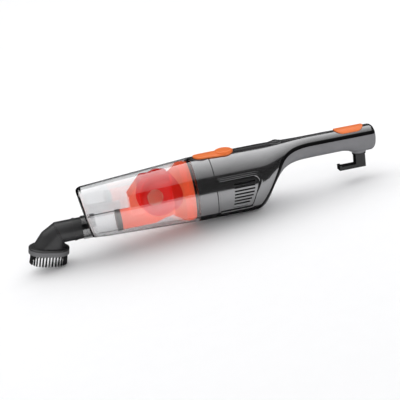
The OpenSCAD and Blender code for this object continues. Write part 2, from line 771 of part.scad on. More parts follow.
module cord_hook() rest_pose() color([0.12, 0.12, 0.13]) translate([hook_x, 0, 0]) difference() {
    union() {
        translate([0, 0, hook_top - 2]) cylinder(h = 2, r = hook_boss_r - 0.6);
        translate([-hook_post / 2, -hook_w / 2, hook_top - hook_drop])
            cube([hook_post, hook_w, hook_drop - 1]);
        translate([-hook_reach, -hook_w / 2, hook_top - hook_drop]) cube([hook_reach, hook_w, hook_t]);
        translate([-hook_reach, -hook_w / 2, hook_top - hook_drop]) cube([4, hook_w, hook_t + 2]);
    }
    translate([0, 0, hook_top - 4.5]) cylinder(h = 5, r = pivot_r + run);
    translate([0, 0, hook_top - hook_drop - 1]) cylinder(h = hook_drop - 3, r = hook_well);
}

module hook_screw() rest_pose() color([0.75, 0.75, 0.77]) translate([hook_x, 0, hook_top - 7.5]) {
    cylinder(h = 17, r = pivot_r);
    cylinder(h = 2.5, r = pivot_head);
}

module hook_washer() rest_pose() color([0.80, 0.80, 0.82])
    translate([hook_x, 0, hook_top - 5]) difference() {
        cylinder(h = 0.95, r = pivot_head);
        translate([0, 0, -1]) cylinder(h = 3, r = pivot_r);
    }

module cord_gland() rest_pose() color([0.08, 0.08, 0.09]) difference() {
    union() {
        rod(grip_end - 1, grip_end + 0.4, gland_r, gland_z);
        rod(grip_end - 9, grip_end - 1, gland_r - 2, gland_z);
    }
    rod(grip_end - 10, grip_end + 2, cord_bore, gland_z);
}

module shell_screws() rest_pose() color([0.72, 0.72, 0.74]) for (p = screw_spots)
    translate([p[0], 0, p[1]]) rotate([-90, 0, 0]) {
        translate([0, 0, -8]) cylinder(h = 16, r = screw_r);
        translate([0, 0, 8]) cylinder(h = 2.4, r = 2.8);
    }

// ---- parts -----------------------------------------------------------------------------------
brush_head();
brush_ring();
bristle_tufts();
brush_tube();
dust_cup();
inlet_sleeve();
inlet_seal();
cyclone_housing();
cyclone_screens();
filter_holder();
cup_seal();
filter_pleats();
filter_frame();
front_ring();
slide_bed();
shell_left();
shell_right();
top_strip();
grip_skin();
trim_line();
vent_cover_left();
vent_cover_right();
exhaust_foam();
motor_can();
motor_bracket();
armature();
commutator();
carbon_brushes();
motor_shaft();
motor_bearings();
fan_impeller();
fan_shroud();
front_mount();
rear_mount();
release_slide();
release_spring();
push_button();
button_spring();
button_switch();
power_switch();
switch_block();
circuit_board();
board_parts();
cord_hook();
hook_screw();
hook_washer();
cord_gland();
shell_screws();
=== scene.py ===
"""Looks for the handheld vacuum: a finish for each CAD node, smooth skins for the body and grip, brush
filaments, spring coils and a studio."""
import json
import math
import random

import bmesh
import bpy
from mathutils import Matrix, Vector


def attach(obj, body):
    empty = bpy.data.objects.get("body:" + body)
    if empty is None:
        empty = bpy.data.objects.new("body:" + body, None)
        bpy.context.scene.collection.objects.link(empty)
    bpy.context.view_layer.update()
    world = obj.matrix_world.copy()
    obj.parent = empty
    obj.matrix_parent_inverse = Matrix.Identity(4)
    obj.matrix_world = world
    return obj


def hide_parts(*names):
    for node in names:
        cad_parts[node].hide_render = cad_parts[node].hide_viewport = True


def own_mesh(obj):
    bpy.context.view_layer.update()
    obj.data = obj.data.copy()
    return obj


MM = 0.001

# camera, in the tool's own axis frame
CAM_TURN = 9.5        # degrees round to the brush end
CAM_RISE = 20.0       # degrees above the tool's axis
CAM_ROLL = 8.144      # degrees, brings the brush end down
CAM_AWAY = 1.535      # metres from the motor axis
CAM_LENS = 87.59      # millimetres
SENSOR = 36.0         # millimetres
AIM_RIGHT = 0.012228  # tangent from the picture's centre to the axis origin
AIM_UP = 0.014899     # tangent from the picture's centre to the axis origin

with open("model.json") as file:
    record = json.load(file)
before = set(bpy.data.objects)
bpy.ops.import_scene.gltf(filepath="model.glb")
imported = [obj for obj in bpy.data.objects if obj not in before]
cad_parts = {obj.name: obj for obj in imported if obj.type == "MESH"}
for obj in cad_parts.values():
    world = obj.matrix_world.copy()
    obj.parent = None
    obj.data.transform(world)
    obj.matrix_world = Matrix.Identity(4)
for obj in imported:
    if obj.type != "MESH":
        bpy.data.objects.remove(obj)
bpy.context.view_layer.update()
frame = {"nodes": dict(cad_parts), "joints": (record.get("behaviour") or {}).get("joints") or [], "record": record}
rng = random.Random(41)

# ------------------------------------------------------------------ axis frame
joints = {j["name"]: j for j in frame["joints"]}
spin = joints["motor_spin"]
AXIS_O = Vector(spin["pos_m"])
AXIS_X = Vector(spin["axis"]).normalized()
AXIS_Y = Vector((0, 1, 0))
AXIS_Z = AXIS_X.cross(AXIS_Y).normalized()
AXIS_M = Matrix((AXIS_X, AXIS_Y, AXIS_Z)).transposed()


def at(x, y, z):
    """A point given in millimetres along the tool's own axes, in the row frame."""
    return AXIS_O + AXIS_M @ (Vector((x, y, z)) * MM)


def along_tool(point):
    """A point of the row frame in the tool's axes, to a hundredth of a millimetre."""
    return tuple(round(c / MM, 2) for c in AXIS_M.transposed() @ (Vector(point) - AXIS_O))


def span(name, axis):
    """The lowest and highest place of a CAD node along one of the tool's axes, in millimetres."""
    places = [along_tool(v.co)[axis] for v in frame["nodes"][name].data.vertices]
    return min(places), max(places)


# ------------------------------------------------------------------ materials
class Nodes:
    """A short way to write one material's node tree."""

    def __init__(self, name):
        self.mat = bpy.data.materials.new(name)
        self.mat.use_nodes = True
        self.tree = self.mat.node_tree
        self.bsdf = self.tree.nodes["Principled BSDF"]
        self.coord = self.add("ShaderNodeTexCoord")

    def add(self, kind, **values):
        node = self.tree.nodes.new(kind)
        for key, value in values.items():
            setattr(node, key, value)
        return node

    def link(self, a, b):
        self.tree.links.new(a, b)

    def noise(self, scale, detail=3.0, rough=0.55, stretch=None):
        """Noise over the object's own coordinates, stretched along the tool if wanted."""
        node = self.add("ShaderNodeTexNoise")
        node.inputs["Scale"].default_value = scale
        node.inputs["Detail"].default_value = detail
        node.inputs["Roughness"].default_value = rough
        source = self.coord.outputs["Object"]
        if stretch:
            mapping = self.add("ShaderNodeMapping")
            mapping.inputs["Scale"].default_value = stretch
            self.link(source, mapping.inputs["Vector"])
            source = mapping.outputs["Vector"]
        self.link(source, node.inputs["Vector"])
        return node.outputs["Fac"]

    def spread(self, fac, low, high, start=0.3, end=0.7):
        """Maps a factor to a range of numbers."""
        node = self.add("ShaderNodeMapRange")
        for key, value in (("From Min", start), ("From Max", end), ("To Min", low), ("To Max", high)):
            node.inputs[key].default_value = value
        self.link(fac, node.inputs["Value"])
        return node.outputs["Result"]

    def tint(self, fac, low, high, start=0.3, end=0.7):
        """Runs from one colour to another."""
        node = self.add("ShaderNodeValToRGB")
        node.color_ramp.elements[0].position = start
        node.color_ramp.elements[0].color = (*low, 1)
        node.color_ramp.elements[1].position = end
        node.color_ramp.elements[1].color = (*high, 1)
        self.link(fac, node.inputs["Fac"])
        return node.outputs["Color"]

    def bump(self, fac, depth):
        node = self.add("ShaderNodeBump")
        node.inputs["Strength"].default_value = 0.6
        node.inputs["Distance"].default_value = depth
        self.link(fac, node.inputs["Height"])
        self.link(node.outputs["Normal"], self.bsdf.inputs["Normal"])


def scaled(colour, k):
    return tuple(min(1.0, c * k) for c in colour)


def moulded(name, colour, rough, metal=0.0, vary=0.08, grain=1400.0, depth=2e-5, shine=0.5):
    """Moulded or coated plastic: fine grain, cloudy wear in the gloss, and slight colour drift."""
    n = Nodes(name)
    cloud = n.noise(38.0, 5.0, 0.6)
    fine = n.noise(grain, 4.0, 0.6)
    n.link(n.tint(cloud, scaled(colour, 1 - vary), scaled(colour, 1 + vary)), n.bsdf.inputs["Base Color"])
    n.link(n.spread(n.noise(90.0, 6.0, 0.65), rough * 0.8, rough * 1.25), n.bsdf.inputs["Roughness"])
    n.bsdf.inputs["Metallic"].default_value = metal
    n.bsdf.inputs["Specular IOR Level"].default_value = shine
    n.bump(fine, depth)
    return n.mat


def clear(name, colour, rough, ior, vary=0.03):
    """See-through plastic with faint flow marks from moulding."""
    n = Nodes(name)
    cloud = n.noise(22.0, 3.0, 0.5, stretch=(0.4, 1, 1))
    n.link(n.tint(cloud, scaled(colour, 1 - vary), scaled(colour, 1 + vary)), n.bsdf.inputs["Base Color"])
    n.link(n.spread(n.noise(160.0, 4.0), rough * 0.7, rough * 1.3), n.bsdf.inputs["Roughness"])
    n.bsdf.inputs["Transmission Weight"].default_value = 1.0
    n.bsdf.inputs["IOR"].default_value = ior
    n.bump(n.noise(60.0, 2.0), 4e-6)
    return n.mat


def metal(name, colour, rough):
    """Turned or drawn metal with fine tool marks."""
    n = Nodes(name)
    marks = n.noise(700.0, 3.0, 0.7)
    n.link(n.tint(marks, scaled(colour, 0.85), scaled(colour, 1.1)), n.bsdf.inputs["Base Color"])
    n.link(n.spread(n.noise(120.0, 5.0), rough * 0.75, rough * 1.35), n.bsdf.inputs["Roughness"])
    n.bsdf.inputs["Metallic"].default_value = 1.0
    n.bump(marks, 6e-6)
    return n.mat


def porous(name, low, high, scale, rough, depth):
    """Foam, filter paper and fibre: an open cell or fibre pattern."""
    n = Nodes(name)
    cells = n.add("ShaderNodeTexVoronoi")
    cells.inputs["Scale"].default_value = scale
    n.link(n.coord.outputs["Object"], cells.inputs["Vector"])
    n.link(n.tint(cells.outputs["Distance"], low, high, 0.0, 0.8), n.bsdf.inputs["Base Color"])
    n.link(n.spread(n.noise(200.0), rough * 0.9, min(1.0, rough * 1.1)), n.bsdf.inputs["Roughness"])
    n.bump(cells.outputs["Distance"], depth)
    return n.mat


def mesh_screen(name, pitch, hole_painted_light, sheet):
    """Fine perforated sheet moulded into the drum's cap: rows of holes in a red sheet. The holes carry painted
    light, as if lit from behind, and the whole sheet has a painted glow.
    """
    n = Nodes(name)
    cells = n.add("ShaderNodeTexVoronoi", voronoi_dimensions="2D")
    cells.inputs["Scale"].default_value = 1 / pitch
    cells.inputs["Randomness"].default_value = 0.0
    side_on = n.add("ShaderNodeMapping")
    side_on.inputs["Rotation"].default_value = (math.pi / 2, 0, 0)
    n.link(n.coord.outputs["Object"], side_on.inputs["Vector"])
    n.link(side_on.outputs["Vector"], cells.inputs["Vector"])
    # painted light: the holes get a light colour as if lit from behind, and the emission below gives the sheet and
    # its holes a painted glow
    rows = n.tint(cells.outputs["Distance"], hole_painted_light, sheet, 0.3, 0.38)
    n.link(rows, n.bsdf.inputs["Base Color"])
    n.link(rows, n.bsdf.inputs["Emission Color"])
    n.bsdf.inputs["Emission Strength"].default_value = 0.4
    n.link(n.spread(n.noise(300.0), 0.25, 0.4), n.bsdf.inputs["Roughness"])
    n.bump(cells.outputs["Distance"], 1e-4)
    return n.mat


def drum_plastic(name, inside, outside, through, glow):
    """See-through red plastic, deeper over the cyclone's drum than over its duct, with a painted glow in its own
    colours.
    """
    n = Nodes(name)
    centre = n.add("ShaderNodeVectorMath", operation="SUBTRACT")
    n.link(n.coord.outputs["Object"], centre.inputs[0])
    centre.inputs[1].default_value = at(*DRUM)
    flat = n.add("ShaderNodeVectorMath", operation="MULTIPLY")
    flat.inputs[1].default_value = (1, 0, 1)
    n.link(centre.outputs[0], flat.inputs[0])
    size = n.add("ShaderNodeVectorMath", operation="LENGTH")
    n.link(flat.outputs[0], size.inputs[0])
    step = n.spread(size.outputs["Value"], 0.0, 1.0, DRUM_R - DRUM_EDGE, DRUM_R + DRUM_EDGE)
    flow = n.tint(n.noise(30.0, 4.0, 0.55), (0.9, 0.9, 0.9), (1, 1, 1))
    mix = n.add("ShaderNodeMix", data_type="RGBA", blend_type="MULTIPLY")
    mix.inputs[0].default_value = 1.0
    n.link(n.tint(step, inside, outside, 0.0, 1.0), mix.inputs[6])
    n.link(flow, mix.inputs[7])
    n.link(mix.outputs[2], n.bsdf.inputs["Base Color"])
    # painted glow: the plastic emits its own colour, brightening it as light shining through it would
    n.link(mix.outputs[2], n.bsdf.inputs["Emission Color"])
    n.bsdf.inputs["Emission Strength"].default_value = glow
    n.link(n.spread(n.noise(160.0, 4.0), 0.1, 0.2), n.bsdf.inputs["Roughness"])
    n.bsdf.inputs["Transmission Weight"].default_value = through
    n.bump(n.noise(60.0, 2.0), 8e-6)
    return n.mat


# Middle of the deep red circle, in millimetres along the tool's axes, and its radius in metres. It is painted,
# and isn't over the middle of the CAD's drum.
DRUM, DRUM_R = (-88.5, 0, 11.5), 0.0345
DRUM_EDGE = 0.0006
SCREEN_PITCH = 0.0031
CAD_SHARP, SKIN_SHARP = 28, 35  # degrees between faces that stay sharp, on CAD nodes and on new pieces
FINISH = {
    "brush_black": moulded("brush_black", (0.035, 0.035, 0.036), 0.34, vary=0.12),
    "ring_grey": moulded("ring_grey", (0.14, 0.14, 0.145), 0.42, vary=0.08),
    "bristle": moulded("bristle", (0.018, 0.018, 0.02), 0.45, vary=0.3, grain=3000.0),
    "clear": clear("clear", (0.975, 0.98, 0.985), 0.02, ior=2.25, vary=0.015),
    "frosted": clear("frosted", (0.97, 0.975, 0.98), 0.12, ior=1.3),
    "seal_teal": moulded("seal_teal", (0.16, 0.21, 0.2), 0.55),
    # red_clear and orange_clear: painted glow, whose strength is their last number
    "red_clear": drum_plastic("red_clear", (0.8, 0.009, 0.005), (0.97, 0.22, 0.13), 0.15, 0.52),
    "orange_clear": drum_plastic("orange_clear", (0.78, 0.02, 0.01), (0.96, 0.17, 0.07), 0.1, 0.5),
    # steel_mesh: painted light in the holes and a painted glow over the sheet
    "steel_mesh": mesh_screen("steel_mesh", SCREEN_PITCH, (1.0, 0.6, 0.42), (0.6, 0.012, 0.008)),
    "hook_black": moulded("hook_black", (0.01, 0.01, 0.011), 0.18, vary=0.2),
    "rubber_black": moulded("rubber_black", (0.012, 0.012, 0.013), 0.6),
    "filter_media": porous("filter_media", (0.55, 0.5, 0.44), (0.8, 0.77, 0.7), 2500.0, 0.9, 5e-5),
    "inner_plastic": moulded("inner_plastic", (0.12, 0.12, 0.125), 0.5),
    "body_grey": moulded("body_grey", (0.31, 0.31, 0.315), 0.13, metal=0.93, vary=0.04, grain=2600.0,
                         depth=4e-6),
    "strip_dark": moulded("strip_dark", (0.05, 0.05, 0.052), 0.22, vary=0.06),
    "grip_grey": moulded("grip_grey", (0.2, 0.2, 0.21), 0.62, vary=0.05, grain=2200.0, depth=4e-5),
    "trim_black": moulded("trim_black", (0.003, 0.003, 0.0035), 0.42, vary=0.1, shine=0.15),
    "foam": porous("foam", (0.005, 0.005, 0.005), (0.03, 0.03, 0.03), 1400.0, 0.95, 2e-4),
    "motor_steel": metal("motor_steel", (0.55, 0.56, 0.58), 0.32),
    "fan_metal": metal("fan_metal", (0.75, 0.76, 0.78), 0.25),
    "copper": metal("copper", (0.7, 0.32, 0.16), 0.35),
    "carbon": porous("carbon", (0.01, 0.01, 0.01), (0.03, 0.03, 0.032), 4000.0, 0.6, 2e-5),
    "orange": moulded("orange", (0.86, 0.19, 0.035), 0.35, vary=0.06),
    "board_green": moulded("board_green", (0.02, 0.16, 0.06), 0.35, vary=0.2),
    "zinc": metal("zinc", (0.62, 0.63, 0.64), 0.3),
}

finish_of = {sub["node"]: sub["material_slot"] for sub in frame["record"]["subparts"]}
finish_of["cord_hook"] = "hook_black"  # glossier than the brush, whose slot it shares
for name, node in frame["nodes"].items():
    node.data.materials.clear()
    node.data.materials.append(FINISH[finish_of[name]])
    node.data.shade_smooth()
    node.data.set_sharp_from_angle(angle=math.radians(CAD_SHARP))

# ------------------------------------------------------------------ body form
# Places and sizes that the CAD body gives, in millimetres along the tool's axes.
FRONT_X = span("shell_left", 0)[0]
END_X = span("grip_skin", 0)[1]
BARREL_R = -span("shell_left", 1)[0]
TOP = span("shell_left", 2)[1]
BUTTON_X = sum(span("push_button", 0)) / 2
HOOK_X = along_tool(joints["hook_turn"]["pos_m"])[0]
# Half widths, lowest and middle heights and the trim line, along the tool's axis, in millimetres.
WIDTH = [(FRONT_X, BARREL_R), (72, BARREL_R), (82, 49.4), (91, 45.8), (100, 41.2), (112, 35.2), (125, 29),
         (140, 23), (155, 19.6), (168, 19), (END_X, 19)]
BOTTOM = [(FRONT_X, -BARREL_R), (60, -BARREL_R), (69, -50.2), (75, -46.6), (81, -39.4), (86, -31), (90, -23),
          (94, -15.5), (98, -8.5), (102, -2), (107, 5), (112, 9.4), (118, 11.8), (126, 13.4), (145, 14.8),
          (215, 15.3), (226, 13.6), (233, 10.6), (241, 8.5), (END_X, 8.5)]
MIDDLE = [(FRONT_X, 0), (66, 0), (80, 3), (90, 8.5), (100, 14), (112, 20), (125, 25.5), (140, 30), (155, 32),
          (END_X, 32)]
TRIM = [(62, -45), (82, -13.3), (102, 18.2), (106.5, 25), (112.5, 31), (121, 35.8), (132, 39), (146, 40.6),
        (160, 41), (END_X - 1, 41)]
TRIM_HALF = 2.6
END_ROUND = 8.0
END_MID = 30          # height at which the grip's end closes
FRONT_LIP = 0.8       # bevel at the ring
SLICE = 2.0           # distance between the skin's cross sections
SKIN_STEPS = 56       # faces from the underside to the top of one half
SEAM_GAP = 0.08       # half the gap between the two halves
GRIP_FROM = 60        # the grip skin starts behind this place
FLOOR_GAP = 0.02      # the skin stays this far above the floor
SHELL_THICK, GRIP_THICK, STRIP_THICK = 2.4, 1.2, 0.5
WELD = 2e-6           # metres


def curve(points):
    """A smooth function through the points that never overshoots them."""
    xs, ys = [p[0] for p in points], [p[1] for p in points]
    slopes = [(ys[i + 1] - ys[i]) / (xs[i + 1] - xs[i]) for i in range(len(xs) - 1)]
    tangents = [slopes[0]]
    for a, b in zip(slopes, slopes[1:]):
        tangents.append(0.0 if a * b <= 0 else 2 * a * b / (a + b))
    tangents.append(slopes[-1])

    def value(x):
        if x <= xs[0]:
            return ys[0]
        if x >= xs[-1]:
            return ys[-1]
        i = max(k for k in range(len(xs) - 1) if xs[k] <= x)
        h = xs[i + 1] - xs[i]
        t = (x - xs[i]) / h
        return (ys[i] * (1 + 2 * t) * (1 - t) ** 2 + ys[i + 1] * t * t * (3 - 2 * t)
                + h * (tangents[i] * t * (1 - t) ** 2 + tangents[i + 1] * t * t * (t - 1)))

    return value


width_at, bottom_at, middle_at, trim_at = (curve(points) for points in (WIDTH, BOTTOM, MIDDLE, TRIM))


def end_inset(x):
    over = max(0.0, x - (END_X - END_ROUND))
    return END_ROUND - math.sqrt(max(0.0, END_ROUND ** 2 - over ** 2))


def section(x, angle):
    """Half width and height on the body's skin at this place, from angle -90 under it to 90 on top."""
    inset = end_inset(x)
    w, mid = width_at(x) - inset, middle_at(x)
    c, s = math.cos(math.radians(angle)), math.sin(math.radians(angle))
    reach = (TOP - inset - mid) if s > 0 else (mid - bottom_at(x) - inset)
    return w * c, mid + reach * s


def skin_y(x, z):
    """Half width of the skin at a place given in the side view."""
    inset = end_inset(x)
    mid = middle_at(x)
    reach = (TOP - inset - mid) if z > mid else (mid - bottom_at(x) - inset)
    return (width_at(x) - inset) * math.sqrt(max(0.0, 1 - ((z - mid) / reach) ** 2))


def skin_z(x, y):
    """Height of the top of the skin over a place given from above."""
    mid = middle_at(x)
    return mid + (TOP - mid) * math.sqrt(max(0.0, 1 - (y / width_at(x)) ** 2))


def mesh_object(name, verts, faces, material):
    """A new object in the scene, from points in metres in the row frame."""
    mesh = bpy.data.meshes.new(name)
    mesh.from_pydata([tuple(v) for v in verts], [], faces)
    mesh.materials.append(material)
    obj = bpy.data.objects.new(name, mesh)
    bpy.context.scene.collection.objects.link(obj)
    return obj


def piece(name, verts, faces, finish, replaced=None):
    """A piece of the body, from points in millimetres along the tool's axes."""
    obj = mesh_object(name, [at(*v) for v in verts], faces, FINISH[finish])
    bm = bmesh.new()
    bm.from_mesh(obj.data)
    bmesh.ops.remove_doubles(bm, verts=bm.verts, dist=WELD)
    bmesh.ops.recalc_face_normals(bm, faces=bm.faces)
    bm.to_mesh(obj.data)
    bm.free()
    obj.data.shade_smooth()
    obj.data.set_sharp_from_angle(angle=math.radians(SKIN_SHARP))
    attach(obj, "body")
    if replaced:
        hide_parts(replaced)
    return obj


def grid_faces(rows, cols):
    """The faces of a grid of points, row by row."""
    return [(r * cols + c, r * cols + c + 1, (r + 1) * cols + c + 1, (r + 1) * cols + c)
            for r in range(rows - 1) for c in range(cols - 1)]


def ribbon_faces(rows, cols):
    """A raised ribbon: its grid, closed underneath and at both ends."""
    last = (rows - 1) * cols
    under = [(r * cols, (r + 1) * cols, (r + 1) * cols + cols - 1, r * cols + cols - 1)
             for r in range(rows - 1)]
    ends = [tuple(range(cols)), tuple(last + c for c in reversed(range(cols)))]
    return grid_faces(rows, cols) + under + ends


FLOOR_RISE = math.tan(math.asin(-AXIS_X.z))
FLOOR_Z = -AXIS_O.z / AXIS_Z.z / MM


def rest_z(x):
    """Height of the table in the tool's frame."""
    return FLOOR_Z + x * FLOOR_RISE


def half_shell(side):
    """One half from the ring to the grip's end, its faces split into the gloss part and the grip part."""
    xs = [FRONT_X, FRONT_X + FRONT_LIP]
    while xs[-1] < END_X - END_ROUND:
        xs.append(min(END_X - END_ROUND, xs[-1] + SLICE))
    xs += [END_X - END_ROUND + END_ROUND * math.sin(math.radians(a)) for a in range(15, 91, 15)]
    angles = [-90 + 180 * k / SKIN_STEPS for k in range(SKIN_STEPS + 1)]
    verts = []
    for i, x in enumerate(xs):
        r = 1 - FRONT_LIP / BARREL_R if i == 0 else 1.0
        for a in angles:
            y, z = section(x, a)
            verts.append((x, side * max(SEAM_GAP, y * r), max(z * r, rest_z(x) + FLOOR_GAP)))
    cols = len(angles)
    faces = grid_faces(len(xs), cols)
    hub = len(verts)
    verts.append((END_X, side * SEAM_GAP, END_MID))
    last = (len(xs) - 1) * cols
    faces += [(last + k, last + k + 1, hub) for k in range(cols - 1)]
    gloss, grip = [], []
    for f in faces:
        cx = sum(verts[v][0] for v in f) / len(f)
        cz = sum(verts[v][2] for v in f) / len(f)
        (grip if cx > GRIP_FROM and cz < trim_at(cx) else gloss).append(f)
    return verts, gloss, grip


def solid(obj, thick):
    """Gives a skin its wall thickness, in millimetres, inwards."""
    mod = obj.modifiers.new("wall", "SOLIDIFY")
    mod.thickness = thick * MM
    mod.offset = -1.0
    mod.use_even_offset = True


def cover_y(z):
    """Half width of the straight barrel under the vent cover."""
    return math.sqrt(BARREL_R ** 2 - z ** 2)


# The vent rim runs back along RIM_TOP, bends round RIM_CORNER and leans down to RIM_FOOT.
RIM_STEPS, RIM_SIDES, RIM_HALF, RIM_LIFT = 90, 7, 3.1, 2.75
RIM_START, RIM_TOP, RIM_CORNER, RIM_BEND, RIM_FOOT = 3.0, 21.9, (56.0, 10.2), 11.7, (46.0, -30.6)
RIM_LEAN = math.atan2(RIM_CORNER[0] + RIM_BEND - RIM_FOOT[0] - 8.0, RIM_CORNER[1] - RIM_FOOT[1])
RIM_ROOT = -0.6
# width, tuck under the rim, and low and high lift of the black strip of painted shade in the vent's groove
GROOVE, GROOVE_TUCK, GROOVE_LOW, GROOVE_HIGH = 0.9, 0.4, 0.2, 0.72


def rim_path(t):
    """A place on the vent rim's middle line, in side view, and its direction there."""
    lean = RIM_LEAN
    flat = RIM_CORNER[0] - RIM_START
    bend = RIM_BEND * (math.pi / 2 + lean)
    down = (RIM_CORNER[1] - RIM_FOOT[1]) / math.cos(lean) - RIM_BEND * math.sin(lean)
    s = t * (flat + bend + down)
    if s < flat:
        return RIM_START + s, RIM_TOP, Vector((1.0, 0.0))
    if s < flat + bend:
        a = math.pi / 2 - (s - flat) / RIM_BEND
        return (RIM_CORNER[0] + RIM_BEND * math.cos(a), RIM_CORNER[1] + RIM_BEND * math.sin(a),
                Vector((math.sin(a), -math.cos(a))))
    x0, z0 = RIM_CORNER[0] + RIM_BEND * math.cos(lean), RIM_CORNER[1] - RIM_BEND * math.sin(lean)
    run = s - flat - bend
    return x0 - run * math.sin(lean), z0 - run * math.cos(lean), Vector((-math.sin(lean), -math.cos(lean)))


WINDOW_X, WINDOW_Z = (9.0, 62.0), (-27.0, 18.0)


def in_window(x, z):
    """Behind the vent cover, where the shell is open."""
    return WINDOW_X[0] < x < WINDOW_X[1] and WINDOW_Z[0] < z < WINDOW_Z[1]


# the round boss over the hook: its rings run down the outside, over the foot and up the bore
BOSS_GAP = 0.02
BOSS_R, BOSS_Z, BOSS_TOP, BOSS_EDGE, BOSS_BORE, BOSS_STEPS = 11.6, 8.0, 20.0, 0.6, 3.0, 24
BOSS = ((BOSS_TOP, BOSS_R), (BOSS_Z + BOSS_EDGE, BOSS_R), (BOSS_Z, BOSS_R - BOSS_EDGE), (BOSS_Z, BOSS_BORE),
        (BOSS_TOP, BOSS_BORE))
# the trim line's cross section: places across it, as shares of its half width, and their heights
TRIM_ACROSS = (-1.0, -1.0, -0.86, -0.4, 0.0, 0.4, 0.86, 1.0, 1.0)
TRIM_LIFT = (-0.7, 0.15, 0.42, 0.5, 0.52, 0.5, 0.42, 0.15, -0.7)
TRIM_STEPS, TRIM_CROWD, TRIM_LOW = 150, 1.35, 0.4
for side, label in ((-1, "left"), (1, "right")):
    verts, gloss, grip = half_shell(side)
    gloss = [f for f in gloss if not all(in_window(verts[v][0], verts[v][2]) for v in f)]
    solid(piece("shell_form_" + label, verts, gloss, "body_grey", "shell_" + label), SHELL_THICK)
    # the round boss over the hook goes with the grip's lower part
    base = len(verts)
    for z, r in BOSS:
        for k in range(BOSS_STEPS + 1):
            a = math.pi * k / BOSS_STEPS
            verts.append((HOOK_X + r * math.cos(a), side * max(BOSS_GAP, r * math.sin(a)), z))
    grip += [tuple(base + v for v in f) for f in grid_faces(len(BOSS), BOSS_STEPS + 1)]
    solid(piece("grip_form_" + label, verts, grip, "grip_grey", "grip_skin"), GRIP_THICK)

    # black trim line laid in the joint between them
    path = []
    for k in range(TRIM_STEPS + 1):
        x = TRIM[0][0] + (TRIM[-1][0] - TRIM[0][0]) * (k / TRIM_STEPS) ** TRIM_CROWD
        path.append((x, trim_at(x)))
    verts = []
    for k, (x, z) in enumerate(path):
        a, b = path[max(0, k - 1)], path[min(TRIM_STEPS, k + 1)]
        d = Vector((b[0] - a[0], b[1] - a[1])).normalized()
        for u, up in zip(TRIM_ACROSS, TRIM_LIFT):
            px, pz = x - d.y * u * TRIM_HALF, z + d.x * u * TRIM_HALF
            pz = max(pz, bottom_at(px) + TRIM_LOW)
            verts.append((px, side * (skin_y(px, pz) + up), pz))
    faces = ribbon_faces(len(path), len(TRIM_ACROSS))
    piece("trim_form_" + label, verts, faces, "trim_black", "trim_line")

    # rounded rim along the top and the back of the vent cover
    verts = []
    for k in range(RIM_STEPS + 1):
        x, z, d = rim_path(k / RIM_STEPS)
        for u in range(-RIM_SIDES, RIM_SIDES + 1):
            share = u / RIM_SIDES
            up = RIM_ROOT if abs(share) == 1 else RIM_LIFT * math.sqrt(1 - share ** 2)
            px, pz = x - d.y * share * RIM_HALF, z + d.x * share * RIM_HALF
            verts.append((px, side * (cover_y(pz) + up), pz))
    piece("vent_rim_" + label, verts, ribbon_faces(RIM_STEPS + 1, 2 * RIM_SIDES + 1), "body_grey")

    # painted shade: a black strip laid along the groove between the rim and the slotted field, where the groove
    # falls in shade
    verts = []
    for k in range(RIM_STEPS + 1):
        x, z, d = rim_path(k / RIM_STEPS)
        for share, up in ((0, GROOVE_LOW), (0, GROOVE_HIGH), (1, GROOVE_HIGH), (1, GROOVE_LOW)):
            off = -RIM_HALF + GROOVE_TUCK - GROOVE * share
            px, pz = x - d.y * off, z + d.x * off
            verts.append((px, side * (cover_y(pz) + up), pz))
    piece("vent_groove_shade_" + label, verts, ribbon_faces(RIM_STEPS + 1, 4), "trim_black")

# ------------------------------------------------------------------ top strip and button bezel
STRIP_X, STRIP_HALF, STRIP_ROWS = (42.0, 196.0), 4.0, 90
BUTTON_HOLE, BEZEL_R, BEZEL_STEPS = 7.4, 11.0, 48
STRIP_ACROSS = (-1.0, -1.0, -0.8, -0.3, 0.3, 0.8, 1.0, 1.0)
STRIP_LIFT = (-0.6, 0.1, 0.3, 0.34, 0.34, 0.3, 0.1, -0.6)
# the bezel's rings: radius and height over the skin
BEZEL = ((BUTTON_HOLE, -3.0), (BUTTON_HOLE, 0.3), (8.0, 1.0), (9.0, 1.3), (10.0, 1.2), (10.8, 0.8),
         (BEZEL_R, 0.3), (BEZEL_R, -0.8))
verts, faces = [], []
for k in range(STRIP_ROWS):
    x = STRIP_X[0] + (STRIP_X[1] - STRIP_X[0]) * k / (STRIP_ROWS - 1)
    for u, up in zip(STRIP_ACROSS, STRIP_LIFT):
        verts.append((x, u * STRIP_HALF, skin_z(x, u * STRIP_HALF) + up))
for f in grid_faces(STRIP_ROWS, len(STRIP_ACROSS)):
    cx = sum(verts[v][0] for v in f) / 4
    if abs(cx - BUTTON_X) > BUTTON_HOLE + 1:
        faces.append(f)
base = len(verts)
for r, up in BEZEL:
    for k in range(BEZEL_STEPS + 1):
        a = 2 * math.pi * k / BEZEL_STEPS
        x, y = BUTTON_X + r * math.cos(a), r * math.sin(a)
        verts.append((x, y, skin_z(x, y) + up))
faces += [tuple(base + v for v in f) for f in grid_faces(len(BEZEL), BEZEL_STEPS + 1)]
solid(piece("top_strip_form", verts, faces, "strip_dark", "top_strip"), STRIP_THICK)


# ------------------------------------------------------------------ springs
WIRE, WIRE_SIDES, TURN_STEPS = 0.0004, 8, 20


